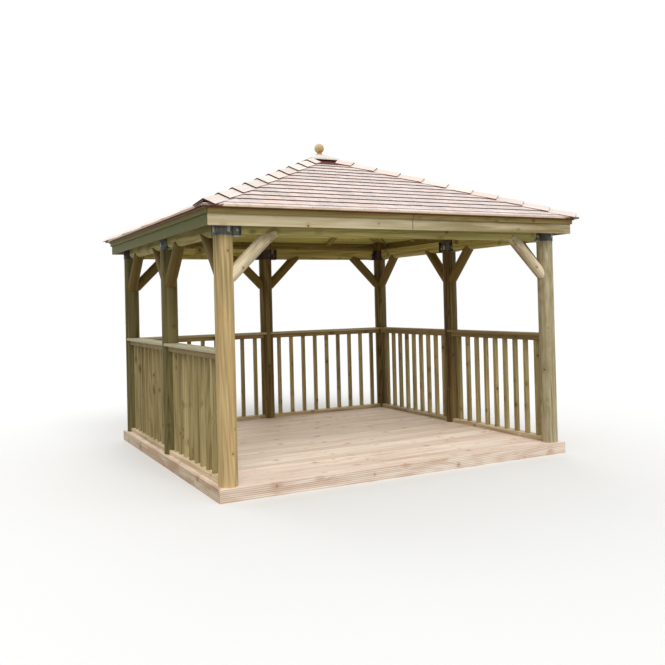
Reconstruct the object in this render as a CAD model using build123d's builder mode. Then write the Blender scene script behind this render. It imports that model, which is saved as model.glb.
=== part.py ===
"""Garden gazebo: an open timber frame on a low deck, under a square hipped roof of wooden shingles.

The origin is on the ground at the middle of the deck. +Z is up and the open front faces -Y.
Each wall is drawn as if it stood at the front, then turned into its place about the Z axis.
"""

import math
import os

from build123d import *

os.makedirs("parts", exist_ok=True)

# Posts, in a square, with one more in the middle of every side but the front
post_line = 1700.0
post_radius = 80.0
fit_gap = 0.3

# Deck
deck_height = 110.0
deck_overhang = 108.0
deck_board_thickness = 28.0
edge_board_thickness = 28.0
joist_width = 45.0
joist_count = 9
rib_groove_width = 5.0
rib_groove_depth = 3.0
deck_edge_grooves = 7
bottom_board_grooves = 2

# Railings, with heights above the deck
bottom_board_width = 100.0
bottom_board_height = 44.0
baluster_width = 42.0
balusters_per_bay = 9
under_rail_width = 95.0
under_rail_height = 50.0
handrail_width = 150.0
handrail_thickness = 26.0
handrail_top = 1100.0
handrail_edge_radius = 5.0

# Ring beams with a round underside, which is this high above the deck
beam_bottom = 2035.0
beam_width = 92.0
beam_depth = 130.0
beam_end_setback = 142.0

# Steel brackets that hold the beam ends on the posts
bracket_top_margin = 5.0
bracket_plate = 4.0
bracket_arm_width = 64.0
bracket_arm_height = 80.0
bracket_end_width = 100.0

# Round braces at 45 degrees, lapped up over the beams' sides
brace_proud = 10.0
brace_reach = 389.0
brace_foot_cut = 14.0
brace_lap = 45.0
brace_bevel = 19.0

# Roof, set by its height over the top of the beams, above the middle of the posts
roof_over_beams = 201.0
roof_slope = 22.5
shingle_layer = 26.0
eave_shingle_thickness = 18.0
shingle_butt = 9.0
shingle_overhang = 66.5
first_course_setback = 70.0
course_pitch = 126.8
sheathing_thickness = 18.0
sheathing_overhang = 26.5
shaft_hole_radius = 26.0

# Eave boards, with heights from the underside of the roof down
fascia_overhang = 183.5
fascia_thickness = 18.0
fascia_height = 142.0
fillet_thickness = 15.0
fillet_height = 41.0
eave_batten_width = 45.0
eave_batten_height = 43.0
joint_gap = 1.0
fascia_joint_at = 12.0

# Rafters
rafter_width = 70.0
rafter_depth = 30.0
rafter_offset = 975.0
hip_rafter_width = 150.0
hip_rafter_depth = 60.0
king_block_height = 130.0

# Hip cap boards, lapped up each hip and folded more steeply than the roof
hip_cap_width = 100.0
hip_cap_butt = 30.0
hip_cap_tail = 16.0
hip_cap_fold = 11.5
hip_cap_setback = 25.0
hip_cap_count = 10
top_hip_cap_showing = 115.0

# Apex cap and ball finial
apex_cap_half = 163.0
apex_cap_top_half = 36.0
apex_cap_slope = 25.0
apex_cap_thickness = 16.0
apex_cap_housing = 3.0
finial_ball_radius = 52.5
finial_ball_rise = 71.0
finial_neck_radius = 27.0
finial_foot_radius = 34.0
finial_foot_height = 8.0
finial_spigot_radius = 20.0
finial_spigot_length = 130.0

# Values that follow from the sizes above, with lines measured out from the middle
deck_half = post_line + deck_overhang
deck_inner_half = deck_half - edge_board_thickness
rib_pitch = deck_height / deck_edge_grooves
bay_middle = post_line / 2
bay_clear = post_line - 2 * post_radius
beam_top = beam_bottom + beam_depth
bracket_height = beam_depth - bracket_top_margin
brace_radius = beam_width / 2 + brace_proud
brace_axis_height = beam_bottom - brace_reach
roof_tan = math.tan(math.radians(roof_slope))
roof_cos = math.cos(math.radians(roof_slope))
roof_apex_height = beam_top + roof_over_beams + post_line * roof_tan
roof_depth = shingle_layer + sheathing_thickness
fascia_face_line = post_line + fascia_overhang
fascia_back_line = fascia_face_line - fascia_thickness
fillet_face_line = fascia_face_line + fillet_thickness
batten_inner_line = fascia_back_line - eave_batten_width
sheathing_line = fascia_face_line + sheathing_overhang
eave_line = fascia_face_line + shingle_overhang
first_course_line = eave_line - first_course_setback
course_count = int((first_course_line - apex_cap_half) / course_pitch)
hip_cap_first = eave_line - hip_cap_setback
hip_cap_last = apex_cap_half + top_hip_cap_showing
hip_cap_pitch = (hip_cap_first - hip_cap_last) / (hip_cap_count - 1)
long_enough = 2 * eave_line
side_turns = {"front": 0, "right": 90, "back": 180, "left": 270}


def above_ground(height):
    """Height above the ground of a point at this height above the deck."""
    return deck_height + height


def roof_height(line, depth=0.0):
    """Height of the roof plane over a line this far out, or of one this deep below it."""
    return above_ground(roof_apex_height) - line * roof_tan - depth / roof_cos


def write(part, name, turn=0):
    """Turn a part about the Z axis into its place and save it under its name."""
    placed = part.rotate(Axis.Z, turn)
    placed.label = name
    export_step(placed, f"parts/{name}.step")


def slope_plane(depth, turn=0):
    """Plane of one slope at this depth under the shingles, with +Y up the slope."""
    angle = math.radians(turn)
    along = (math.cos(angle), math.sin(angle), 0)
    lean = math.sin(math.radians(roof_slope))
    normal = (lean * math.sin(angle), -lean * math.cos(angle), roof_cos)
    return Plane(origin=(0, 0, roof_height(0, depth)), x_dir=along, z_dir=normal)


def mitre_plane(end, gap=0.0):
    """Upright plane through the hip at one end of the front (-1 or 1), facing the front wall."""
    facing = Vector(-end, -1, 0).normalized()
    return Plane(origin=facing * gap / 2, x_dir=(0, 0, 1), z_dir=facing)


def cut_under_roof(depth=roof_depth, turn=0):
    """Cut away whatever stands above the underside of one slope."""
    split(bisect_by=slope_plane(depth, turn), keep=Keep.BOTTOM)


def cut_mitres(gap=0.0):
    """Cut both ends of a front piece along the hips."""
    for end in (-1, 1):
        split(bisect_by=mitre_plane(end, gap), keep=Keep.TOP)


def board_section(outer, inner, bottom, top):
    """Section of a long piece of the front, between two lines out and two heights."""
    with Locations((-outer, bottom)):
        Rectangle(outer - inner, top - bottom, align=(Align.MIN, Align.MIN))


def cut_post_holes(xs, y):
    """Cut round hollows that fit the posts at these places along a wall."""
    with BuildSketch() as hollows:
        with Locations(*[(x, y) for x in xs]):
            Circle(post_radius + fit_gap)
    extrude(hollows.sketch, amount=long_enough, mode=Mode.SUBTRACT)


# Deck
with BuildPart() as deck_floor:
    with BuildSketch(Plane.XY.offset(deck_height - deck_board_thickness)):
        Rectangle(2 * deck_inner_half, 2 * deck_inner_half)
    extrude(amount=deck_board_thickness)
write(deck_floor.part, "deck_floor")

with BuildPart() as deck_joists:
    joist_pitch = (2 * deck_inner_half - joist_width) / (joist_count - 1)
    with BuildSketch():
        with GridLocations(joist_pitch, 0, joist_count, 1):
            Rectangle(joist_width, 2 * deck_inner_half)
    extrude(amount=deck_height - deck_board_thickness)
write(deck_joists.part, "deck_joists")

for name, turn in side_turns.items():
    half_length = deck_half if name in ("front", "back") else deck_inner_half
    with BuildPart() as deck_edge:
        with BuildSketch(Plane.YZ):
            board_section(deck_half, deck_inner_half, 0, deck_height)
            with Locations((-deck_half, deck_height / 2)):
                with GridLocations(0, rib_pitch, 1, deck_edge_grooves):
                    Rectangle(2 * rib_groove_depth, rib_groove_width, mode=Mode.SUBTRACT)
        extrude(amount=half_length, both=True)
    write(deck_edge.part, f"{name}_deck_edge", turn)


# Roof timbers: the hip rafters, the block they meet at, and the rafters between them
hip_pitch = math.atan(roof_tan / math.sqrt(2))
hip_run = math.cos(hip_pitch) / math.sqrt(2)
hip_plane = Plane(
    origin=(0, 0, roof_height(0, roof_depth)),
    x_dir=(-hip_run, -hip_run, -math.sin(hip_pitch)),
    z_dir=(1, -1, 0),
)
toward_corner = Vector(-1, -1, 0).normalized()

with BuildPart() as hip_rafter:
    with BuildSketch(hip_plane):
        Rectangle(long_enough, hip_rafter_depth, align=(Align.MIN, Align.MIN))
    extrude(amount=hip_rafter_width / 2, both=True)
    cut_under_roof()
    cut_under_roof(turn=side_turns["left"])
    split(
        bisect_by=Plane(origin=toward_corner * hip_rafter_width / 2, z_dir=toward_corner),
        keep=Keep.TOP,
    )
    split(bisect_by=Plane.XZ.offset(batten_inner_line), keep=Keep.BOTTOM)
    split(bisect_by=Plane.YZ.offset(-batten_inner_line), keep=Keep.TOP)

with BuildPart() as hip_rafters:
    for turn in side_turns.values():
        add(hip_rafter.part.rotate(Axis.Z, turn))
write(hip_rafters.part, "hip_rafters")

with BuildPart() as king_block:
    with BuildSketch(Plane.XY.offset(roof_height(0, roof_depth) - king_block_height)):
        Rectangle(hip_rafter_width, hip_rafter_width, rotation=45)
    extrude(amount=king_block_height)
    for turn in side_turns.values():
        cut_under_roof(turn=turn)
    with BuildSketch():
        Circle(finial_spigot_radius + fit_gap)
    extrude(amount=long_enough, mode=Mode.SUBTRACT)
write(king_block.part, "king_block")

with BuildPart() as slope_rafters:
    with BuildSketch(slope_plane(roof_depth)):
        with Locations((-rafter_offset, 0), (0, 0), (rafter_offset, 0)):
            Rectangle(rafter_width, long_enough, align=(Align.CENTER, Align.MAX))
    extrude(amount=-rafter_depth)
    split(bisect_by=Plane.XZ.offset(batten_inner_line), keep=Keep.BOTTOM)
    cut_mitres()
    add(hip_rafters.part, mode=Mode.SUBTRACT)
    with BuildSketch():
        Rectangle(hip_rafter_width, hip_rafter_width, rotation=45)
    extrude(amount=long_enough, mode=Mode.SUBTRACT)

with BuildPart() as rafters:
    for turn in side_turns.values():
        add(slope_rafters.part.rotate(Axis.Z, turn))
write(rafters.part, "rafters")


# Posts, each cut at the top to the underside of the timber it carries
def post(x, y, carried_plane, name):
    """Post at a place on the deck, up to the underside of what it carries."""
    with BuildPart() as this_post:
        with BuildSketch(Plane.XY.offset(deck_height)):
            with Locations((x, y)):
                Circle(post_radius)
        extrude(amount=long_enough)
        split(bisect_by=carried_plane, keep=Keep.BOTTOM)
    write(this_post.part, name)


def hip_seat(x, y):
    """Underside of the hip rafter that runs down to this corner."""
    down = Vector(x * hip_run, y * hip_run, -abs(x) * math.sin(hip_pitch))
    across = Vector(-y, x, 0)
    normal = down.cross(across).normalized()
    normal = normal if normal.Z > 0 else -normal
    top = Vector(0, 0, roof_height(0, roof_depth))
    return Plane(origin=top - normal * hip_rafter_depth, z_dir=normal)


for name_y, y in (("front", -post_line), ("back", post_line)):
    for name_x, x in (("left", -post_line), ("right", post_line)):
        post(x, y, hip_seat(x, y), f"{name_y}_{name_x}_post")

rafter_seat = roof_depth + rafter_depth
for name, place in {
    "right": (post_line, 0),
    "back": (0, post_line),
    "left": (-post_line, 0),
}.items():
    seat = slope_plane(rafter_seat, side_turns[name])
    post(*place, seat, f"{name}_middle_post")


# Steel brackets round the post tops
def bracket(arm_turns):
    """Collar round a post with a channel arm towards each beam, made at the origin."""
    with BuildPart() as made:
        with BuildSketch():
            Circle(post_radius + fit_gap + bracket_plate)
        extrude(amount=bracket_height)
        for turn in arm_turns:
            arm_plane = Plane.YZ.rotated((0, 0, turn))
            with BuildSketch(arm_plane):
                Rectangle(
                    bracket_arm_width, bracket_arm_height, align=(Align.CENTER, Align.MIN)
                )
                with Locations((0, bracket_plate)):
                    Rectangle(
                        bracket_arm_width - 2 * bracket_plate,
                        bracket_arm_height,
                        align=(Align.CENTER, Align.MIN),
                        mode=Mode.SUBTRACT,
                    )
            extrude(amount=beam_end_setback)
            with BuildSketch(arm_plane.offset(beam_end_setback - bracket_plate)):
                Rectangle(bracket_end_width, bracket_height, align=(Align.CENTER, Align.MIN))
            extrude(amount=bracket_plate)
        with BuildSketch():
            Circle(post_radius + fit_gap)
        extrude(amount=bracket_height, mode=Mode.SUBTRACT)
    return made.part


bracket_bottom = above_ground(beam_bottom)
with BuildPart() as corner_brackets:
    for turn in side_turns.values():
        corner = Vector(-post_line, -post_line, bracket_bottom)
        add(bracket((0, 90)).translate(corner).rotate(Axis.Z, turn))
write(corner_brackets.part, "corner_brackets")

with BuildPart() as middle_brackets:
    for name in ("right", "back", "left"):
        middle = Vector(0, -post_line, bracket_bottom)
        add(bracket((0, 180)).translate(middle).rotate(Axis.Z, side_turns[name]))
write(middle_brackets.part, "middle_brackets")


# Ring beams
def beam_section(gap=0.0):
    """Section across a front beam: straight sides over a half-round underside."""
    radius = beam_width / 2 + gap
    with Locations((-post_line, above_ground(beam_bottom) + beam_width / 2)):
        Circle(radius)
        Rectangle(
            2 * radius,
            beam_top - beam_bottom - beam_width / 2,
            align=(Align.CENTER, Align.MIN),
        )


def wall_beams(spans):
    """Beams of one wall, one for each span between two places along it."""
    with BuildPart() as made:
        for start, end in spans:
            with BuildSketch(Plane.YZ.offset(start)):
                beam_section()
            extrude(amount=end - start)
    return made.part


end_line = post_line - beam_end_setback
half_spans = ((-end_line, -beam_end_setback), (beam_end_setback, end_line))
write(wall_beams(((-end_line, end_line),)), "front_beam")
for name in ("right", "back", "left"):
    write(wall_beams(half_spans), f"{name}_beams", side_turns[name])


# Braces from the posts up to the beams, hollowed to fit both
def brace(x, lean):
    """Round brace from a post at this place along a wall, with its upper end bevelled."""
    run = brace_reach + brace_lap
    foot = Vector(x, -post_line, above_ground(brace_axis_height))
    bevel = math.radians(brace_bevel)
    bevel_up = Vector(-lean * math.sin(bevel), 0, math.cos(bevel))
    with BuildPart() as made:
        with BuildSketch(Plane(origin=foot, x_dir=(0, 1, 0), z_dir=(lean, 0, 1))):
            Circle(brace_radius)
        extrude(amount=run * math.sqrt(2))
        top = foot + Vector(lean * run, 0, run)
        split(bisect_by=Plane(origin=top, z_dir=bevel_up), keep=Keep.BOTTOM)
    return made.part


def wall_braces(starts):
    """Braces of one wall, each from a post at a place along it and leaning one way."""
    with BuildPart() as made:
        for x, lean in starts:
            add(brace(x, lean))
        with BuildSketch(Plane.YZ.offset(-end_line)):
            beam_section(fit_gap)
        extrude(amount=2 * end_line, mode=Mode.SUBTRACT)
        cut_post_holes(sorted({x for x, lean in starts}), -post_line)
        foot_height = above_ground(brace_axis_height + brace_foot_cut)
        split(bisect_by=Plane.XY.offset(foot_height), keep=Keep.TOP)
    return made.part


corner_braces = ((-post_line, 1), (post_line, -1))
write(wall_braces(corner_braces), "front_braces")
for name in ("right", "back", "left"):
    braces = wall_braces((*corner_braces, (0, -1), (0, 1)))
    write(braces, f"{name}_braces", side_turns[name])


# Railings: a panel in each bay, and a handrail board over each wall's two panels
under_rail_bottom = handrail_top - handrail_thickness - under_rail_height
with BuildPart() as railing:
    with BuildSketch(Plane.YZ):
        outer = bottom_board_width / 2
        with Locations((-outer, 0)):
            Rectangle(2 * outer, bottom_board_height, align=(Align.MIN, Align.MIN))
        with Locations((-outer, bottom_board_height / 2)):
            with GridLocations(0, rib_pitch, 1, bottom_board_grooves):
                Rectangle(2 * rib_groove_depth, rib_groove_width, mode=Mode.SUBTRACT)
    extrude(amount=bay_clear / 2, both=True)
    with BuildSketch(Plane.XY.offset(bottom_board_height)):
        with GridLocations(bay_clear / balusters_per_bay, 0, balusters_per_bay, 1):
            Rectangle(baluster_width, baluster_width)
    extrude(amount=under_rail_bottom - bottom_board_height)
    with BuildSketch(Plane.XY.offset(under_rail_bottom)):
        Rectangle(post_line, under_rail_width)
    extrude(amount=under_rail_height)
    cut_post_holes((-bay_middle, bay_middle), 0)

bay_names = {"right": ("front", "back"), "back": ("right", "left"), "left": ("back", "front")}
for name, halves in bay_names.items():
    for half, x in zip(halves, (-bay_middle, bay_middle)):
        panel = railing.part.translate((x, -post_line, deck_height))
        write(panel, f"{name}_{half}_railing", side_turns[name])

for name, mitred_ends in {"right": (1,), "back": (-1, 1), "left": (-1,)}.items():
    with BuildPart() as handrail:
        with BuildSketch(Plane.XY.offset(above_ground(handrail_top - handrail_thickness))):
            with Locations((0, -post_line)):
                Rectangle(2 * post_line, handrail_width)
        extrude(amount=handrail_thickness)
        edges = handrail.edges().filter_by(Axis.X).group_by(Axis.Z)[-1]
        fillet(edges, radius=handrail_edge_radius)
        cut_post_holes((-post_line, 0, post_line), -post_line)
        for end in mitred_ends:
            split(bisect_by=mitre_plane(end), keep=Keep.TOP)
    write(handrail.part, f"{name}_handrail", side_turns[name])


# Eaves: the batten behind, the fascia on it and the fillet under the roof's edge
def eave_board_section(outer, inner, height):
    """Section of an eave board whose outer face is this high, left tall for its bevel."""
    bottom = roof_height(outer, roof_depth) - height
    board_section(outer, inner, bottom, roof_height(0))


with BuildPart() as eave_batten:
    with BuildSketch(Plane.YZ):
        eave_board_section(fascia_back_line, batten_inner_line, eave_batten_height)
    extrude(amount=eave_line, both=True)
    cut_under_roof()
    cut_mitres(joint_gap)

with BuildPart() as fascia:
    with BuildSketch(Plane.YZ):
        eave_board_section(fascia_face_line, fascia_back_line, fascia_height)
    extrude(amount=eave_line, both=True)
    cut_under_roof()
    cut_mitres()
    with BuildSketch(Plane.YZ.offset(fascia_joint_at)):
        eave_board_section(fascia_face_line, fascia_back_line, fascia_height)
    extrude(amount=joint_gap, mode=Mode.SUBTRACT)

with BuildPart() as eave_fillet:
    with BuildSketch(Plane.YZ):
        eave_board_section(fillet_face_line, fascia_face_line, fillet_height)
    extrude(amount=eave_line, both=True)
    cut_under_roof()
    cut_mitres(joint_gap)

for name, turn in side_turns.items():
    write(fascia.part, f"{name}_fascia", turn)
for name, piece in {"eave_battens": eave_batten, "eave_fillets": eave_fillet}.items():
    with BuildPart() as ring:
        for turn in side_turns.values():
            add(piece.part.rotate(Axis.Z, turn))
    write(ring.part, name)


# Roof slopes: boarding with the courses of shingles stepped over it
def slope_outline():
    """Points round a slope's section, out from the middle and up, in the plane Y-Z."""
    lines = [first_course_line - course_pitch * n for n in range(course_count)]
    points = [(0, roof_depth), (sheathing_line, roof_depth), (sheathing_line, shingle_layer)]
    points += [(eave_line, eave_shingle_thickness), (eave_line, 0)]
    for line in lines:
        points += [(line, shingle_butt), (line, 0)]
    points.append((0, shingle_butt))
    return [(-line, roof_height(line, depth)) for line, depth in points]


with BuildPart() as roof_slope_part:
    with BuildSketch(Plane.YZ):
        with BuildLine():
            Polyline(*slope_outline(), close=True)
        make_face()
    extrude(amount=eave_line, both=True)
    cut_mitres()
    with BuildSketch():
        Circle(shaft_hole_radius)
    extrude(amount=long_enough, mode=Mode.SUBTRACT)
for name, turn in side_turns.items():
    write(roof_slope_part.part, f"{name}_roof_slope", turn)


# Apex cap, housed a little into the top cap board of every hip
def hip_cap_height(line):
    """Height of the top hip cap over a line this far out."""
    share = (hip_cap_last - line) / hip_cap_pitch
    lift = hip_cap_butt + (hip_cap_tail - hip_cap_butt) * share
    return roof_height(line) + lift / roof_cos


apex_rise = (apex_cap_half - apex_cap_top_half) * math.tan(math.radians(apex_cap_slope))
apex_cap_bottom = hip_cap_height(apex_cap_half) - apex_cap_housing
with BuildPart() as apex_cap:
    with BuildSketch(Plane.XY.offset(apex_cap_bottom)):
        Rectangle(2 * apex_cap_half, 2 * apex_cap_half)
    extrude(amount=apex_cap_thickness)
    for lift, mode in ((apex_cap_thickness, Mode.ADD), (0, Mode.SUBTRACT)):
        with BuildSketch(Plane.XY.offset(apex_cap_bottom + lift)):
            Rectangle(2 * apex_cap_half, 2 * apex_cap_half)
        with BuildSketch(Plane.XY.offset(apex_cap_bottom + lift + apex_rise)):
            Rectangle(2 * apex_cap_top_half, 2 * apex_cap_top_half)
        loft(mode=mode, ruled=True)
    with BuildSketch():
        Circle(finial_spigot_radius + fit_gap)
    extrude(amount=long_enough, mode=Mode.SUBTRACT)
write(apex_cap.part, "apex_cap")


# Hip caps: boards lapped up each hip in two mitred wings, trimmed where the apex cap sits
def hip_cap_outline():
    """Points round one wing's section, up the hip and out from the roof, from the lowest butt."""
    up_hip = 1 / math.cos(hip_pitch) * math.sqrt(2)
    butts = [(hip_cap_first - hip_cap_pitch * n) * up_hip for n in range(hip_cap_count)]
    points = [(-butts[0], -hip_cap_butt)]
    for butt in butts:
        points += [(-butt, hip_cap_butt), (-butt + hip_cap_pitch * up_hip, hip_cap_tail)]
    points.append((points[-1][0], -hip_cap_butt))
    return points


up_the_hip = Vector(hip_run, hip_run, math.sin(hip_pitch))
wing_plane = Plane(
    origin=(0, 0, roof_height(0)), x_dir=up_the_hip, z_dir=up_the_hip.cross(slope_plane(0).z_dir)
)
fold = math.tan(math.radians(hip_cap_fold))
down_the_wing = wing_plane.z_dir - wing_plane.y_dir * fold
with BuildPart() as hip_cap_row:
    with BuildSketch(wing_plane):
        with BuildLine():
            Polyline(*hip_cap_outline(), close=True)
        make_face()
    extrude(amount=hip_cap_width * down_the_wing.length, dir=down_the_wing, both=True)
    split(bisect_by=slope_plane(0), keep=Keep.TOP)
    split(bisect_by=mitre_plane(-1), keep=Keep.TOP)
    mirror(about=mitre_plane(-1))
    add(apex_cap.part, mode=Mode.SUBTRACT)

with BuildPart() as hip_caps:
    for turn in side_turns.values():
        add(hip_cap_row.part.rotate(Axis.Z, turn))
write(hip_caps.part, "hip_caps")


# Ball finial, turned in one piece with the spigot that goes down into the king block
finial_seat = apex_cap_bottom + apex_cap_thickness + apex_rise
ball_height = finial_seat + finial_ball_rise
ball_angle = math.degrees(math.acos(finial_neck_radius / finial_ball_radius))
ball_foot = ball_height - finial_ball_radius * math.sin(math.radians(ball_angle))
with BuildPart() as finial:
    with BuildSketch(Plane.XZ):
        with BuildLine():
            Polyline(
                (0, ball_height + finial_ball_radius),
                (0, finial_seat - finial_spigot_length),
                (finial_spigot_radius, finial_seat - finial_spigot_length),
                (finial_spigot_radius, finial_seat),
                (finial_foot_radius, finial_seat),
                (finial_foot_radius, finial_seat + finial_foot_height),
                (finial_neck_radius, finial_seat + finial_foot_height),
                (finial_neck_radius, ball_foot),
            )
            CenterArc((0, ball_height), finial_ball_radius, -ball_angle, 90 + ball_angle)
        make_face()
    revolve(axis=Axis.Z)
write(finial.part, "finial")
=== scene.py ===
"""Garden gazebo: boards, shingles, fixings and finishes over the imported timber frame.

Metres throughout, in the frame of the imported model: the origin is on the ground at the middle of
the deck, +Z is up and the open front faces -Y.
"""

import math

import bmesh
import bpy
import numpy as np
from bpy.props import FloatProperty, FloatVectorProperty, IntProperty, PointerProperty
from mathutils import Matrix, Vector


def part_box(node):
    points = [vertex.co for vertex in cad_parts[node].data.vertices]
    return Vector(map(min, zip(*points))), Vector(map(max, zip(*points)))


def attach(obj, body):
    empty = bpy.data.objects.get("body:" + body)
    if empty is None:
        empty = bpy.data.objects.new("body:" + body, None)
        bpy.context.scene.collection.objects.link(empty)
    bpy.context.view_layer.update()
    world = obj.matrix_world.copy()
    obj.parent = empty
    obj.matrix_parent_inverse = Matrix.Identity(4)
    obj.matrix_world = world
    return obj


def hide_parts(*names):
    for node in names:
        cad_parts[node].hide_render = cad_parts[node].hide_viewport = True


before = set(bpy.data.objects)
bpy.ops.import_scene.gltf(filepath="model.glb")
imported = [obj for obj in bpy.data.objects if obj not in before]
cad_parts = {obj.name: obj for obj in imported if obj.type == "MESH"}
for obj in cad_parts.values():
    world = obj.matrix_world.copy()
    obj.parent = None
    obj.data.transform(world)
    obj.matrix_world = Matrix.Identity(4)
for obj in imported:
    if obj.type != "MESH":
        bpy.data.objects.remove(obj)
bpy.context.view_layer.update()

bl_info = {
    "name": "Garden Gazebo Dressing",
    "version": (1, 0, 0),
    "blender": (4, 5, 0),
    "location": "3D View > Sidebar > Gazebo",
    "description": "Lays the boards, shingles, fixings and finishes of a garden gazebo",
    "category": "Object",
}

# The frame's own sizes, as its parts have them
POST_LINE = 1.7
POST_RADIUS = 0.08
DECK_HEIGHT = 0.11
DECK_BOARD_THICKNESS = 0.028
JOIST_COUNT = 9
HANDRAIL_UNDERSIDE = 1.184
UNDER_RAIL_HEIGHT = 0.05
UNDER_RAIL_WIDTH = 0.095
BOTTOM_BOARD_HEIGHT = 0.044
BOTTOM_BOARD_WIDTH = 0.1
BALUSTER_WIDTH = 0.042
BAY_CLEAR = POST_LINE - 2 * POST_RADIUS
BRACKET_BOTTOM = 2.145
BEAM_END_SETBACK = 0.142
ROOF_APEX = 3.18016
ROOF_SLOPE = math.radians(22.5)
ROOF_TAN = math.tan(ROOF_SLOPE)
ROOF_COS = math.cos(ROOF_SLOPE)
EAVE_LINE = 1.95
FIRST_COURSE_LINE = 1.88
COURSE_PITCH = 0.1268
COURSE_COUNT = 13
SHINGLE_DEPTH = 0.026
SHEATHING_LINE = 1.91
SHEATHING_THICKNESS = 0.018
FASCIA_LINE = 1.8835
FASCIA_JOINT = 0.012
HIP_CAP_FIRST = 1.925
HIP_CAP_PITCH = 0.183
HIP_CAP_COUNT = 10
APEX_CAP_HALF = 0.163
HIP_PITCH = math.atan(ROOF_TAN / math.sqrt(2))
UP_HIP = math.sqrt(2) / math.cos(HIP_PITCH)
SIDES = {"front": 0, "right": 90, "back": 180, "left": 270}
RUNS = {"front": "x", "back": "x", "left": "y", "right": "y"}

# Fixings' places from a post's axis at the brackets' underside, with the arm along X
ARM_BOLT = (0.112, 0.032, 0.045)
COLLAR_BOLT = (0.0875, 0, 0.055)
COLLAR_STRAP = (0.0843, 0, 0.026)
COLLAR_TURN = 15
NAIL_HEIGHTS = (2.225, 2.29)
NAIL_REACH = 1.75
NAILS_ALONG = 7

# Turns that bring the grain of each run of timber to X, in degrees
GRAIN_TURNS = {
    "x": (0, 0, 0),
    "y": (0, 0, -90),
    "z": (0, 90, 0),
    "brace_x": (0, 45, 0),
    "brace_y": (0, 45, 0),
}

# Plain linear colours
SPANGLE = (0.3, 0.31, 0.3, 1)
BRIGHT_STEEL = (0.62, 0.63, 0.6, 1)
WORN_STEEL = (0.34, 0.34, 0.32, 1)
FLOOR_BOUNCE = (0.3, 0.3, 0.26, 1)

# The photograph's camera: picture sizes in pixels, and yaw, pitch and roll in radians
PICTURE_SIZE = 665
PICTURE_FOCUS = 794.17
PICTURE_CENTRE = (363.44, 289.29)
SENSOR_WIDTH = 36
CAMERA_PLACE = (-3.7853, -7.9219, 1.5898)
CAMERA_TURNS = (0.49720, 0.01375, -0.02483)


def shade(red, green, blue):
    """Linear colour of a display colour given from 0 to 255."""
    return tuple(((v / 255 + 0.055) / 1.055) ** 2.4 for v in (red, green, blue))


def declare(**given):
    """Properties from their descriptions and defaults: counts, lengths and display colours."""
    made = {}
    for key, (description, *default) in given.items():
        words = {"name": key.replace("_", " ").capitalize(), "description": description}
        if len(default) == 3:
            made[key] = FloatVectorProperty(
                **words, default=shade(*default), min=0, max=1, subtype="COLOR"
            )
        elif isinstance(default[0], int):
            made[key] = IntProperty(**words, default=default[0], min=1)
        else:
            made[key] = FloatProperty(**words, default=default[0], min=0, unit="LENGTH")
    return made


class GazeboSizes(bpy.types.PropertyGroup):
    """Sizes of the boards, shingles and fixings."""

    __annotations__ = declare(
        deck_board_count=("How many boards cover the deck", 24),
        deck_board_gap=("Gap between two deck boards", 0.005),
        arris=("Width of the eased edges of sawn timber", 0.003),
        screw_radius=("Radius of a deck screw's head", 0.0045),
        baluster_count=("How many balusters stand in one bay", 9),
        rib_pitch=("Distance between two ribs of a ribbed board", 0.0157),
        shingle_least=("Width of the narrowest shingle", 0.085),
        shingle_most=("Width of the widest shingle", 0.165),
        shingle_joint=("Gap between two shingles of a course", 0.004),
        shingle_butt=("Thickness of a shingle at its lower end", 0.0096),
        shingle_lap=("Length of a shingle under the next course", 0.03),
        hip_cap_width=("Width of a cap board each side of a hip", 0.1),
        hip_cap_butt=("Height of a cap board's lower end over the roof", 0.0295),
        hip_cap_tail=("Height of a cap board at the next board's end", 0.0165),
        hip_cap_drop=("How far a cap board falls across its width", 0.0204),
        hip_cap_thickness=("Thickness of a cap board along the hip", 0.016),
        boarding_width=("Width of a board under the shingles", 0.12),
        bolt_radius=("Radius of the brackets' bolt heads", 0.0075),
        strap_width=("Width of the bright straps on the brackets' collars", 0.024),
    )


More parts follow.
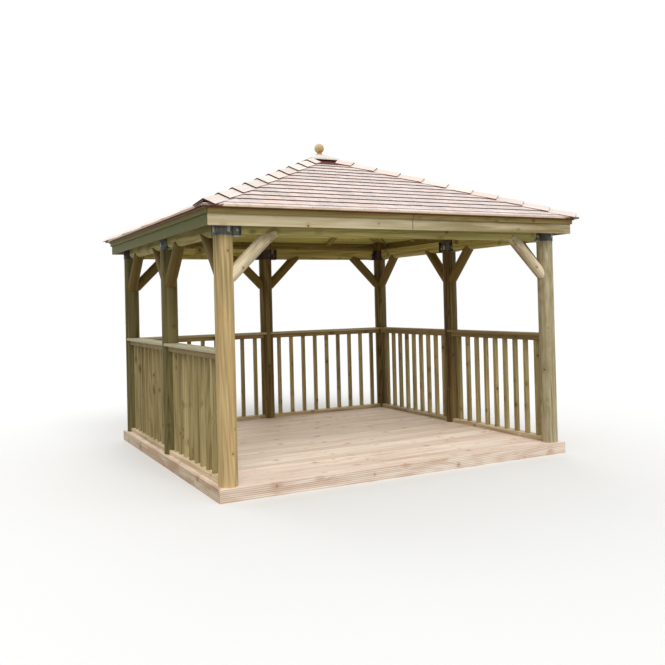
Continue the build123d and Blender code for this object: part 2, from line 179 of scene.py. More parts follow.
class GazeboColours(bpy.types.PropertyGroup):
    """Colours of the finishes."""

    __annotations__ = declare(
        fascia=("Newly planed pine of the fascias", 206, 196, 164),
        # Partly green stain and partly painted shade on the left fascia.
        shaded_fascia=("Green stained pine of the left fascia", 86, 88, 18),
        fillet=("Pine of the strips under the roof's edge", 170, 148, 92),
        front_post=("Round pine of the front left post", 212, 186, 136),
        right_front_post=("Greyer pine of the front right post", 194, 181, 153),
        # Painted shade: the inner posts are the same pine as the front ones, darkened for the shade
        # under the roof.
        right_post=("Shaded pine of the inner posts on the right", 142, 124, 76),
        inner_post=("Shaded pine of the inner posts on the left", 120, 110, 65),
        brace=("Peeled pine of the front braces", 242, 230, 198),
        # Painted shade: the other braces are the same pine as the front ones, darkened for the
        # shade under the roof.
        inner_brace=("Peeled pine of the other braces", 128, 104, 52),
        beam=("Pine of the ring beams", 212, 199, 128),
        railing=("Pine of the balusters", 190, 172, 122),
        under_rail=("Pine under the handrails", 170, 146, 98),
        bottom_board=("Ribbed pine under the balusters", 236, 220, 188),
        # Painted shade: the inner faces of the bottom boards are browner for the shade they stand
        # in.
        bottom_inner=("Browner inner faces of the bottom boards", 234, 212, 174),
        handrail=("Pale planed pine of the handrails", 186, 182, 150),
        # Painted shade: the right handrail is darkened for the shade it stands in; the same colour
        # is also grain on the front right post and stain on the fascias.
        right_handrail=("Darker pine of the right handrail", 138, 124, 82),
        deck=("Pinkish pine of the deck boards", 255, 243, 228),
        deck_edge=("Ribbed pine of the deck's edges", 250, 238, 222),
        left_deck_edge=("Ribbed pine of the deck's left edge", 250, 236, 208),
        left_stain=("Brown near the front of the deck's left edge", 206, 168, 138),
        pink_grain=("Late growth lines in the deck", 198, 152, 122),
        boarding=("Sawn pine under the shingles", 255, 244, 148),
        hidden_timber=("Sawn pine under the deck and the roof", 200, 182, 108),
        dark_grain=("Late growth lines in fresh pine", 168, 130, 82),
        olive_grain=("Late growth lines in treated pine", 96, 80, 36),
        # Darker grain of the inner posts, part of their painted shade.
        shaded_grain=("Late growth lines in the shaded posts", 68, 56, 26),
        # Knots in the pine; the same colour also serves as painted shade in the grooves, at the
        # joints and on the steel under the roof.
        knot=("Knots in the pine", 84, 50, 26),
        grey_stain=("Weathered grey on the posts", 134, 124, 82),
        shingle=("Pale pinkish cedar", 226, 214, 211),
        salmon=("Redder cedar among the pale shingles", 216, 186, 172),
        course_shade=("Dark lower ends of the shingles", 76, 60, 54),
        eave_butt=("Fresh lower ends of the first course", 236, 212, 176),
        hip_cap=("Cream cedar of the hip caps", 234, 224, 216),
        # Painted shade: the hip caps' dark lower ends stand for the shadow under each board.
        hip_cap_end=("Dark lower ends of the hip caps", 62, 42, 38),
        # Red brown cedar on the hip caps' sides, partly painted shade there; the same colour is the
        # painted shade of the eave corners and the boarding's edges, and the deck's knots.
        hip_cap_side=("Red brown sides of the hip caps", 128, 82, 66),
        apex_cap=("Nearly white wood of the apex cap", 222, 221, 213),
        # Partly the sheet's own colour and partly painted shade in the recess under the apex cap.
        membrane=("Red brown sheet round the apex", 98, 42, 28),
        ball=("Golden oiled wood of the finial", 226, 208, 158),
        steel=("Dull galvanised steel", 98, 101, 88),
        floor=("Pale plain floor", 234, 234, 233),
    )


# Modelling helpers
def only(*objects):
    """Select these objects and nothing else."""
    bpy.ops.object.select_all(action="DESELECT")
    for item in objects:
        item.select_set(True)
    bpy.context.view_layer.objects.active = objects[0]


def settle(name):
    """Name the new object, and put its place and size in its mesh."""
    made = bpy.context.active_object
    only(made)
    bpy.ops.object.transform_apply(location=True, rotation=True, scale=True)
    made.name = name
    made.data.name = name
    return made


def block(name, low, high):
    """A block between two corners."""
    low, high = Vector(low), Vector(high)
    bpy.ops.mesh.primitive_cube_add(size=1, location=(low + high) / 2, scale=high - low)
    return settle(name)


def drum(name, radius, low, high, sides, turn=0.0, top_radius=None):
    """A round or many-sided block along Z between two heights."""
    bpy.ops.mesh.primitive_cone_add(
        vertices=sides,
        radius1=radius,
        radius2=radius if top_radius is None else top_radius,
        depth=high - low,
        location=(0, 0, (low + high) / 2),
        rotation=(0, 0, turn),
    )
    return settle(name)


def pick(made, kind, test):
    """Open the mesh for editing with only these vertices, edges or faces selected."""
    if bpy.context.mode != "EDIT_MESH":
        only(made)
        bpy.ops.object.mode_set(mode="EDIT")
    bpy.ops.mesh.select_mode(type=kind)
    bpy.ops.mesh.select_all(action="DESELECT")
    shape = bmesh.from_edit_mesh(made.data)
    parts = {"VERT": shape.verts, "EDGE": shape.edges, "FACE": shape.faces}[kind]
    for part in parts:
        if test(part):
            part.select_set(True)
    shape.select_flush_mode()
    bmesh.update_edit_mesh(made.data)


def stop_editing():
    bpy.ops.object.mode_set(mode="OBJECT")


def pick_edges(made, axis, test=lambda point: True):
    """Pick the edges along an axis, or along any, that have both ends pass a test."""

    def wanted(edge):
        start, end = (corner.co for corner in edge.verts)
        along = axis is None or abs((end - start).normalized()[axis]) > 0.99
        return along and test(start) and test(end)

    pick(made, "EDGE", wanted)


def ease_edges(made, width, axis, segments=1, **tested):
    """Bevel the edges along an axis that pass a test."""
    pick_edges(made, axis, **tested)
    bpy.ops.mesh.bevel(offset=width, segments=segments, affect="EDGES")
    stop_editing()


def raise_corners(made, height, test):
    """Raise the corners whose places pass a test."""
    pick(made, "VERT", lambda corner: test(corner.co))
    bpy.ops.transform.translate(value=(0, 0, height))
    stop_editing()


def trim(made, point, normal):
    """Cut away what lies beyond a plane, and close the cut."""
    pick(made, "FACE", lambda face: True)
    bpy.ops.mesh.bisect(plane_co=point, plane_no=normal, use_fill=True, clear_outer=True)
    stop_editing()


def apply_modifier(made, kind, **settings):
    """Give an object a modifier and apply it."""
    only(made)
    change = made.modifiers.new(kind.lower(), kind)
    for name, value in settings.items():
        setattr(change, name, value)
    bpy.ops.object.modifier_apply(modifier=change.name)


def spin(degrees, axis="Z"):
    """Matrix that turns a thing about an axis."""
    return Matrix.Rotation(math.radians(degrees), 4, axis)


def turned(degrees, x, y, z):
    """Matrix that moves a thing to a place at the front, then turns it to its side."""
    return spin(degrees) @ Matrix.Translation((x, y, z))


def axes(origin, along, across, up):
    """Matrix that puts a model's own axes along three directions."""
    matrix = Matrix((along, across, up)).transposed().to_4x4()
    matrix.translation = origin
    return matrix


def lay(name, model, places, seed, tone_base=0.0, tone_spread=1.0, stretches=None):
    """Copy a model to many places in one mesh, each copy with its own run of grain and tone.

    Each copy can be stretched along the model's own axes.
    """
    chance = np.random.default_rng(seed)
    points = np.array([corner.co[:] for corner in model.data.vertices])
    faces = [tuple(face.vertices) for face in model.data.polygons]
    finishes = [face.material_index for face in model.data.polygons]
    all_points, all_faces, all_grain, all_tone = [], [], [], []
    for number, matrix in enumerate(places):
        matrix = np.array(matrix)
        stretched = points * stretches[number] if stretches else points
        start = number * len(points)
        all_points.append(stretched @ matrix[:3, :3].T + matrix[:3, 3])
        all_faces += [tuple(start + corner for corner in face) for face in faces]
        all_grain.append(stretched + chance.uniform(-40, 40, 3))
        all_tone += [tone_base + tone_spread * chance.uniform(-1, 1)] * len(points)
    mesh = bpy.data.meshes.new(name)
    mesh.from_pydata(np.concatenate(all_points), [], all_faces)
    mesh.attributes.new("grain", "FLOAT_VECTOR", "POINT")
    mesh.attributes["grain"].data.foreach_set("vector", np.concatenate(all_grain).ravel())
    mesh.attributes.new("tone", "FLOAT", "POINT")
    mesh.attributes["tone"].data.foreach_set("value", all_tone)
    mesh.polygons.foreach_set("material_index", finishes * len(places))
    for finish in model.data.materials:
        mesh.materials.append(finish)
    made = bpy.data.objects.new(name, mesh)
    bpy.context.scene.collection.objects.link(made)
    return made


def join(name, *pieces):
    """Join pieces into one, under a name."""
    only(*pieces)
    bpy.ops.object.join()
    return settle(name)


def discard(*objects):
    """Remove models that have been copied."""
    for item in objects:
        bpy.data.objects.remove(item)


def finish_piece(made, *finishes):
    """Give a new piece its finishes, the first one all over."""
    made.data.materials.clear()
    for finish in finishes:
        made.data.materials.append(finish)


def fit_piece(made, slot, *nodes, finish=None):
    """Ride a piece on the frame, in the place of these nodes, with one finish or its own."""
    if finish:
        finish_piece(made, finish)
    bpy.context.view_layer.update()
    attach(made, "root")
    if nodes:
        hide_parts(*nodes)


def paint_faces(made, choose):
    """Give each face the finish of this number in its piece's list."""
    for face in made.data.polygons:
        face.material_index = choose(face)


def dress(finish, *names):
    """Give nodes of the frame a finish."""
    for name in names:
        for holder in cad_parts[name].material_slots:
            holder.material = finish


# Shader helpers
def node(kind, inputs=(), tree=None, **settings):
    """Add a shader node to a tree, or else beside the nodes whose outputs feed it."""
    inputs = dict(inputs)
    fed = [name for name, value in inputs.items() if isinstance(value, bpy.types.NodeSocket)]
    tree = tree or inputs[fed[0]].id_data
    made = tree.nodes.new(f"ShaderNode{kind}")
    for name, value in settings.items():
        setattr(made, name, value)
    for name, value in inputs.items():
        if name in fed:
            tree.links.new(value, made.inputs[name])
        else:
            made.inputs[name].default_value = value
    return made


def sums(operation, *values, **settings):
    """A maths node's result."""
    return node("Math", enumerate(values), operation=operation, **settings).outputs[0]


def times(first, second):
    """Product of two values."""
    return sums("MULTIPLY", first, second)


def vectors(operation, *values, output=0):
    """A vector maths node's result."""
    made = node("VectorMath", enumerate(values), operation=operation)
    return made.outputs[output]


def scaled(vector, share):
    """A vector or colour times a value."""
    inputs = {0: vector, "Scale": share}
    return node("VectorMath", inputs, operation="SCALE").outputs[0]


def blend(share, first, second):
    """Mix of two colours."""
    made = node("Mix", {0: share, 6: first, 7: second}, data_type="RGBA")
    return made.outputs[2]


def ramp(value, low, high, start=0.0, end=1.0):
    """Smooth rise of a value from one level to another."""
    inputs = {"Value": value, "From Min": low, "From Max": high, "To Min": start, "To Max": end}
    made = node("MapRange", inputs, interpolation_type="SMOOTHSTEP")
    return made.outputs["Result"]


def noise(place, scale, detail=3.0, distortion=0.0):
    """Noise over a place, with its scale along each axis."""
    moved = vectors("MULTIPLY", place, scale)
    inputs = {"Vector": moved, "Scale": 1.0, "Detail": detail, "Distortion": distortion}
    return node("TexNoise", inputs).outputs["Fac"]


def object_place(tree):
    return node("TexCoord", tree=tree).outputs["Object"]


def one_axis(tree, axis):
    """One coordinate of the place on a piece."""
    return node("SeparateXYZ", {0: object_place(tree)}).outputs[axis]


def tint(name, level=1.0):
    """A colour of the finishes, darkened to a level."""
    return (*(level * part for part in getattr(bpy.context.scene.gazebo_colours, name)), 1.0)


# Shared effects
def new_group(name, inputs, outputs):
    """Start a shader node group with named sockets."""
    tree = bpy.data.node_groups.new(name, "ShaderNodeTree")
    for label, default in inputs.items():
        size = len(default) if isinstance(default, tuple) else 1
        kind = {1: "Float", 3: "Vector", 4: "Color"}[size]
        socket = tree.interface.new_socket(label, in_out="INPUT", socket_type=f"NodeSocket{kind}")
        socket.default_value = default
    for label, kind in outputs.items():
        tree.interface.new_socket(label, in_out="OUTPUT", socket_type=f"NodeSocket{kind}")
    return tree, tree.nodes.new("NodeGroupInput").outputs, tree.nodes.new("NodeGroupOutput").inputs


def build_timber_grain():
    """Node group for sawn and peeled pine, with its grain along X."""
    tree, given, out = new_group(
        "Timber Grain",
        {"Place": (0.0, 0.0, 0.0), "Pale": (0.6, 0.45, 0.3, 1), "Late Growth": (0.3, 0.2, 0.1, 1),
         "Knot": (0.1, 0.05, 0.02, 1), "Figure": 0.5, "Knots": 1.0, "Tone": 0.0, "Checks": 0.0},
        {"Color": "Color", "Height": "Float", "Roughness": "Float"},
    )
    place = given["Place"]

    # Knots, each in a cell of its own, with a halo that bends the grain round it
    spacing = (2.4, 12.0, 12.0)
    moved = vectors("MULTIPLY", place, spacing)
    cells = node("TexVoronoi", {"Vector": moved, "Scale": 1.0}).outputs
    centre = vectors("DIVIDE", cells["Position"], spacing)
    away = vectors("SUBTRACT", place, centre)
    distance = vectors("LENGTH", away, output="Value")
    chance = node("SeparateColor", {0: cells["Color"]}).outputs
    radius = times(sums("MULTIPLY_ADD", chance[0], 0.012, 0.004), given["Knots"])
    knot = ramp(distance, times(radius, 0.55), radius, 1.0, 0.0)
    halo = ramp(distance, radius, sums("MULTIPLY_ADD", radius, 3.2, 0.001), 1.0, 0.0)
    swirl = vectors("MULTIPLY", away, (0.0, 1.0, 1.0))
    bent = vectors("SUBTRACT", place, scaled(swirl, times(halo, 0.9)))

    # Rings, streaks, threads and fibres of the grain, from coarse to fine
    field = noise(bent, (0.28, 4.5, 4.5), 1.0, 0.15)
    rings = ramp(sums("PINGPONG", times(field, 15.0), 0.5), 0.12, 0.5)
    streaks = ramp(noise(bent, (0.7, 34.0, 34.0), 3.0, 0.3), 0.42, 0.7)
    threads = ramp(noise(bent, (1.1, 105.0, 105.0), 2.0, 0.3), 0.42, 0.66)
    fibres = noise(place, (9.0, 420.0, 420.0), 2.0)
    drift = ramp(noise(place, (0.5, 2.4, 2.4), 2.0), 0.35, 0.7)
    figure = -0.11
    for part, weight in (
        (rings, 0.42), (streaks, 0.5), (drift, 0.28), (threads, 0.3), (fibres, 0.22)
    ):
        figure = sums("MULTIPLY_ADD", part, weight, figure)
    share = sums("MULTIPLY", figure, given["Figure"], use_clamp=True)
    lines = ramp(noise(place, (0.9, 75.0, 75.0), 1.0, 0.5), 0.66, 0.72)
    checks = times(lines, given["Checks"])

    tinted = blend(share, given["Pale"], given["Late Growth"])
    tinted = blend(times(halo, 0.32), tinted, given["Late Growth"])
    tinted = blend(times(knot, 0.88), tinted, given["Knot"])
    tinted = blend(times(checks, 0.75), tinted, given["Knot"])
    level = sums("MULTIPLY_ADD", given["Tone"], 0.13, 1.0)
    tree.links.new(scaled(tinted, level), out["Color"])
    relief = sums("MULTIPLY_ADD", rings, -0.35, times(fibres, 0.5))
    relief = sums("SUBTRACT", relief, times(checks, 1.6))
    tree.links.new(sums("MULTIPLY_ADD", knot, 0.4, relief), out["Height"])
    gloss = sums("MULTIPLY_ADD", fibres, 0.16, 0.55)
    tree.links.new(sums("MULTIPLY_ADD", knot, -0.12, gloss), out["Roughness"])


def build_weathering():
    """Node group for stains that gather in patches."""
    tree, given, out = new_group(
        "Weathering",
        {"Color": (0.5, 0.5, 0.5, 1), "Place": (0.0, 0.0, 0.0), "Stain": (0.2, 0.2, 0.2, 1),
         "Amount": 0.5, "Patches": (3.0, 3.0, 3.0)},
        {"Color": "Color"},
    )
    mask = ramp(noise(given["Place"], given["Patches"], 4.0), 0.38, 0.68)
    share = sums("MULTIPLY", mask, given["Amount"], use_clamp=True)
    tree.links.new(blend(share, given["Color"], given["Stain"]), out["Color"])


def use_group(name, inputs):
    """A shared effect's outputs in a material."""
    return node("Group", inputs, node_tree=bpy.data.node_groups[name]).outputs


# Finishes
def new_finish(name):
    """Start a material."""
    finish = bpy.data.materials.new(name)
    finish.use_nodes = True
    finish.node_tree.nodes.clear()
    return finish, finish.node_tree


def end_finish(base, roughness, specular=0.5, metallic=0.0, **normal):
    """End a material with its shader."""
    inputs = {"Base Color": base, "Roughness": roughness, "Specular IOR Level": specular,
              "Metallic": metallic, **normal}
    node("OutputMaterial", {"Surface": node("BsdfPrincipled", inputs).outputs[0]})


def own_grain(tree):
    """Place along each board's own grain, and the board's tone."""
    grain, tone = [
        node("Attribute", tree=tree, attribute_name=name).outputs for name in ("grain", "tone")
    ]
    return grain["Vector"], tone["Fac"]


def frame_grain(tree, direction, offset):
    """Place on a node of the frame, with the grain of its timber turned to X."""
    place = object_place(tree)
    if direction.startswith("brace"):
        parts = node("SeparateXYZ", {0: place}).outputs
        axis = "xy".index(direction[-1])
        run = sums("PINGPONG", sums("ADD", parts[axis], POST_LINE), POST_LINE / 2)
        inputs = {0: run, 1: parts[1 - axis], 2: parts[2]}
        place = node("CombineXYZ", inputs).outputs[0]
    turn = [math.radians(angle) for angle in GRAIN_TURNS[direction]]
    inputs = {"Vector": place, "Rotation": turn, "Location": offset}
    return node("Mapping", inputs).outputs[0]


def dark_near(value, low, high, darkness):
    """Share that falls from a darkness to nothing as a value rises."""
    return ramp(value, low, high, darkness, 0.0)


def weather(surface, place, stain, amount, patches):
    """A surface with a stain over it in patches."""
    inputs = {"Color": surface, "Place": place, "Stain": tint(stain), "Amount": amount,
              "Patches": patches}
    return use_group("Weathering", inputs)["Color"]


def end_wood(wood, surface, bump):
    """End a wood's material with its own relief and roughness."""
    relief = node("Bump", {"Height": wood["Height"], "Strength": bump, "Distance": 0.002})
    end_finish(surface, wood["Roughness"], 0.2, Normal=relief.outputs[0])


def timber(name, pale, late="olive_grain", direction=None, knot="knot", figure=0.6, knots=1.0,
           checks=0.0, bump=0.25, stain=None, rise=None, offset=(0, 0, 0), ribs=0.0, rib_shade=0.4,
           joint=None, left=None):
    """Pine finish, along a direction of the frame or along each board's own length.

    A stain has a colour, an amount and a scale of its patches, and can rise along an axis. Painted
    shade can darken grooves a pitch apart up the piece, a dark joint, partly dirty end grain and
    partly painted shade in the gap, can cross it at a place on an axis, and the left fascia's side
    can have a colour of its own, partly green stain and partly painted shade.
    """
    finish, tree = new_finish(name)
    if direction is None:
        place, tone = own_grain(tree)
    else:
        place, tone = frame_grain(tree, direction, offset), 0.0
    wood = use_group(
        "Timber Grain",
        {"Place": place, "Pale": tint(pale), "Late Growth": tint(late), "Knot": tint(knot),
         "Figure": figure, "Knots": knots, "Tone": tone, "Checks": checks},
    )
    surface = wood["Color"]
    if stain is not None:
        stain_colour, amount, patches = stain
        if rise is not None:
            axis, low, high = rise
            amount = ramp(one_axis(tree, axis), low, high, 0.3 * amount, amount)
        surface = weather(surface, place, stain_colour, amount, patches)
    # Painted shade in the grooves between the ribs.
    if ribs:
        away = sums("PINGPONG", sums("ADD", one_axis(tree, 2), ribs / 2), ribs / 2)
        share = dark_near(away, 0.0015, 0.0045, rib_shade)
        surface = blend(share, surface, tint(knot))
    # The left fascia's side takes its own colour, partly green stain and partly painted shade.
    if left is not None:
        edge = 0.002
        share = dark_near(one_axis(tree, 0), -FASCIA_LINE - edge, -FASCIA_LINE + edge, 0.75)
        surface = blend(share, surface, tint(left))
    # A dark line at the joint, partly dirty end grain and partly painted shade in the gap.
    if joint is not None:
        axis, where = joint
        away = sums("ABSOLUTE", sums("SUBTRACT", one_axis(tree, axis), where))
        surface = blend(dark_near(away, 0.002, 0.006, 0.75), surface, tint(knot))
    end_wood(wood, surface, bump)
    return finish


def cedar(name, pale, red="knot", red_share=0.4, figure=0.4, dark="knot", stain=None):
    """Cedar finish along each board's own length, with some of the boards redder."""
    finish, tree = new_finish(name)
    place, tone = own_grain(tree)
    redder = ramp(tone, 0.4, 1.0, 0.0, red_share)
    wood = use_group(
        "Timber Grain",
        {"Place": place, "Pale": blend(redder, tint(pale), tint(red)),
         "Late Growth": tint(red), "Knot": tint(dark), "Figure": figure, "Knots": 0.0,
         "Tone": tone, "Checks": 0.3},
    )
    surface = wood["Color"]
    if stain is not None:
        surface = weather(surface, object_place(tree), stain, 0.12, (2.0, 2.0, 2.0))
    end_wood(wood, surface, 0.3)
    return finish


def zinc_steel():
    """Dull galvanised steel, with painted shade that darkens it at the back and at the right, under
    the roof.
    """
    finish, tree = new_finish("zinc_steel")
    place = object_place(tree)
    spangle = node("TexVoronoi", {"Vector": place, "Scale": 70.0}).outputs
    grey = node("SeparateColor", {0: spangle["Color"]}).outputs[0]
    cloud = ramp(noise(place, (20.0, 20.0, 20.0), 4.0), 0.4, 0.6)
    # Painted shade: the steel darkens towards the back and the right, where the roof shades it.
    far_painted_shade = ramp(one_axis(tree, 1), 0.3, 1.6, 0.0, 0.95)
    painted_shade = sums("MAXIMUM", far_painted_shade, ramp(one_axis(tree, 0), 0.0, 1.6, 0.0, 0.5))
    base = blend(cloud, tint("steel"), tint("steel", 0.28))
    base = blend(times(grey, 0.25), base, SPANGLE)
    base = blend(painted_shade, base, tint("knot", 0.3))
    end_finish(base, sums("MULTIPLY_ADD", grey, 0.25, 0.35), metallic=0.3)
    return finish


def bright_steel():
    """Newly galvanised steel, with painted shade that darkens it at the back."""
    finish, tree = new_finish("bright_steel")
    worn = ramp(noise(object_place(tree), (300.0, 300.0, 300.0), 3.0), 0.3, 0.7)
    # Painted shade: the fixings darken towards the back, under the roof.
    far_painted_shade = ramp(one_axis(tree, 1), 0.6, 1.6, 0.0, 0.85)
    base = blend(worn, BRIGHT_STEEL, WORN_STEEL)
    end_finish(blend(far_painted_shade, base, tint("knot", 0.3)), 0.4, metallic=0.2)
    return finish


def red_brown_sheet():
    """Matt roofing sheet in two clouded browns; its darkness is partly its own and partly painted
    shade under the apex cap.
    """
    finish, tree = new_finish("red_brown_sheet")
    cloud = ramp(noise(object_place(tree), (18.0, 18.0, 18.0), 4.0), 0.3, 0.75)
    end_finish(blend(cloud, tint("membrane"), tint("membrane", 0.55)), 0.7, 0.2)
    return finish


def seen_directly(tree):
    """Whether a ray comes straight from the camera, or by a mirror or a window."""
    path = node("LightPath", tree=tree).outputs
    seen = sums("MAXIMUM", path["Is Camera Ray"], path["Is Glossy Ray"])
    return sums("MAXIMUM", seen, path["Is Transmission Ray"])


# Operators
class GazeboOperator:
    """What the gazebo's operators share."""

    bl_options = {"REGISTER", "UNDO"}

    @property
    def sizes(self):
        return bpy.context.scene.gazebo_sizes


class GAZEBO_OT_groups(GazeboOperator, bpy.types.Operator):
    """Build the node groups that the finishes share"""

    bl_idname = "gazebo.groups"
    bl_label = "Shared Effects"

    def execute(self, context):
        build_timber_grain()
        build_weathering()
        return {"FINISHED"}


class GAZEBO_OT_brackets(GazeboOperator, bpy.types.Operator):
    """Finish the steel brackets and set their bolts"""

    bl_idname = "gazebo.brackets"
    bl_label = "Brackets"

    def bolt(self):
        """A bolt's head on its washer, with the steel's face at Z = 0."""
        radius, thickness, top = self.sizes.bolt_radius, 0.002, 0.0075
        washer = drum("washer", radius * 1.45, 0, thickness, 12)
        head = drum("bolt_head", radius, thickness, top, 6)
        ease_edges(head, 0.0012, None, test=lambda p: p.z > 0.007)
        return join("bolt", head, washer)

    def strap(self):
        """A strap with a round lower end, its back at X = 0."""
        half, thickness, tall = self.sizes.strap_width / 2, 0.0035, 0.046
        made = block("strap", (0, -half, 0), (thickness, half, tall))
        ease_edges(made, half * 0.6, 0, 3, test=lambda p: p.z < 0.01)
        return made

    def lip(self):
        """A lip under the end of an arm, with two round corners."""
        reach, half, low, top = 0.054, 0.031, -0.004, 0.001
        made = block("lip", (-reach, -half, low), (0, half, top))
        ease_edges(made, 0.006, 2, 3, test=lambda p: p.x > -0.01)
        return made

    def execute(self, context):
        dress(zinc_steel(), "corner_brackets", "middle_brackets")
        bolts, straps, lips = [], [], []
        corners = [(side, -POST_LINE, (0, 90)) for side in SIDES.values()]
        middles = [(side, 0.0, (0, 180)) for side in (90, 180, 270)]
        for side, x, arms in corners + middles:
            centre = turned(side, x, -POST_LINE, BRACKET_BOTTOM)
            for arm in arms:
                turn = centre @ spin(arm)
                lips.append(turn @ Matrix.Translation((BEAM_END_SETBACK, 0, 0)))
                along, out, up = ARM_BOLT
                for face in (-1, 1):
                    spot = Matrix.Translation((along, face * out, up))
                    bolts.append(turn @ spot @ spin(-90 * face, "X"))
            for away in sorted({*SIDES.values()} - {*arms}):
                turn = centre @ spin(away + COLLAR_TURN)
                straps.append(turn @ Matrix.Translation(COLLAR_STRAP))
                bolts.append(turn @ Matrix.Translation(COLLAR_BOLT) @ spin(90, "Y"))
        models = self.bolt(), self.strap(), self.lip()
        laid = [
            lay(f"{model.name}s", model, places, seed=8)
            for model, places in zip(models, (bolts, straps, lips))
        ]
        fixings = join("bracket_fixings", *laid)
        fit_piece(fixings, "galvanised_steel", finish=bright_steel())
        discard(*models)
        return {"FINISHED"}


class GAZEBO_OT_deck(GazeboOperator, bpy.types.Operator):
    """Lay the deck's boards and screws, and finish its edges and joists"""

    bl_idname = "gazebo.deck"
    bl_label = "Deck"

    def screw(self):
        """A screw's head a little under Z = 0, with a recess."""
        radius = self.sizes.screw_radius
        made = drum("deck_screw", radius, -0.0015, -0.0004, 8)
        pick(made, "FACE", lambda f: f.normal.z > 0.9)
        bpy.ops.mesh.inset(thickness=radius * 0.45)
        bpy.ops.transform.translate(value=(0, 0, -0.0008))
        stop_editing()
        return made

    def execute(self, context):
        sizes = self.sizes
        low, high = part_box("deck_floor")
        pitch = (high.y - low.y + sizes.deck_board_gap) / sizes.deck_board_count
        width = pitch - sizes.deck_board_gap
        board = block(
            "deck_board", (low.x, -width / 2, -DECK_BOARD_THICKNESS), (high.x, width / 2, 0)
        )
        ease_edges(board, sizes.arris, 0, 2, test=lambda p: p.z > -0.001)
        rows = [low.y + width / 2 + pitch * row for row in range(sizes.deck_board_count)]
        places = [Matrix.Translation((0, row, DECK_HEIGHT)) for row in rows]
        boards = lay("deck_boards", board, places, seed=3, tone_spread=0.65)
        pine = timber(
            "deck_pine", "deck", "pink_grain", knot="hip_cap_side", figure=0.55, knots=1.4,
            checks=0.5, bump=0.2, stain=("salmon", 0.25, (0.6, 3.0, 3.0)),
        )
        fit_piece(boards, "deck_timber", "deck_floor", finish=pine)

        screw = self.screw()
        end_room, screw_height = 0.045, DECK_HEIGHT + 0.0007
        span = high.x - low.x - end_room
        lines = [span * (joist / (JOIST_COUNT - 1) - 0.5) for joist in range(JOIST_COUNT)]
        places = [
            Matrix.Translation((x, row + side * width, screw_height))
            for row in rows
            for x in lines
            for side in (-0.3, 0.3)
        ]
        screws = lay("deck_screws", screw, places, seed=4)
        fit_piece(screws, "galvanised_steel", finish=bpy.data.materials["bright_steel"])
        discard(board, screw)

        for side, direction in RUNS.items():
            left = side == "left"
            stain = ("left_stain", 1.1) if left else ("pink_grain", 0.4)
            finish = timber(
                f"{side}_deck_edge_pine", "left_deck_edge" if left else "deck_edge", "pink_grain",
                direction, figure=0.5, knots=1.8, offset=(len(side), 3, 1),
                ribs=sizes.rib_pitch, rib_shade=0.5 if left else 0.3,
                stain=(*stain, (2.0, 9.0, 9.0)), rise=(1, 1.5, -1.7),
            )
            dress(finish, f"{side}_deck_edge")
        dress(timber("joist_pine", "hidden_timber", direction="y", bump=0.3), "deck_joists")
        return {"FINISHED"}


class GAZEBO_OT_posts(GazeboOperator, bpy.types.Operator):
    """Finish the round posts"""

    bl_idname = "gazebo.posts"
    bl_label = "Posts"

    def execute(self, context):
        posts = {
            "front_left": dict(
                pale="front_post", late="dark_grain", figure=0.8, knots=0.9,
                stain=("grey_stain", 0.85, (1.8, 46.0, 46.0)), rise=(2, 0.2, 2.1), offset=(0, 7, 2),
            ),
            "front_right": dict(
                pale="right_front_post", late="right_handrail", figure=0.65, knots=1.5,
                stain=("grey_stain", 0.7, (8.0, 24.0, 24.0)), rise=(2, 0.2, 2.1), offset=(4, 7, 2),
            ),
        }
        inner = ("back_left", "back_right", "left_middle", "right_middle", "back_middle")
        for number, name in enumerate(inner):
            left = "left" in name
            # The inner posts take darker colours as painted shade under the roof.
            posts[name] = dict(
                pale="inner_post" if left else "right_post", late="shaded_grain", figure=1.0,
                knots=1.1, stain=("grey_stain" if left else "knot", 0.4, (0.9, 16.0, 16.0)),
                offset=(3.0 * number, 1, 5),
            )
        for name, looks in posts.items():
            finish = timber(f"{name}_post_pine", direction="z", checks=1.0, bump=0.35, **looks)
            dress(finish, f"{name}_post")
        return {"FINISHED"}


class GAZEBO_OT_beams(GazeboOperator, bpy.types.Operator):
    """Finish the ring beams and the braces"""

    bl_idname = "gazebo.beams"
    bl_label = "Beams and Braces"

    def execute(self, context):
        for side, direction in RUNS.items():
            front = side == "front"
            name = "front_beam" if front else f"{side}_beams"
            finish = timber(
                f"{name}_pine", "beam", direction=direction, figure=0.5 if front else 0.7,
                knots=1.7, checks=0.6, bump=0.3, offset=(len(name), 2, 9),
            )
            dress(finish, name)
            # Braces other than the front ones take a darker colour as painted shade.
            colours = ("brace", "dark_grain") if front else ("inner_brace", "olive_grain")
            # The olive stain rises towards the top, partly weathering and partly painted shade
            # under the beams.
            finish = timber(
                f"{side}_brace_pine", *colours, f"brace_{direction}", checks=0.5, bump=0.3,
                stain=("olive_grain", 1.3, (4.0, 12.0, 12.0)), rise=(2, 2.0, 2.2),
                offset=(2.0 * len(side), 4, 6),
            )
            dress(finish, f"{side}_braces")
        return {"FINISHED"}


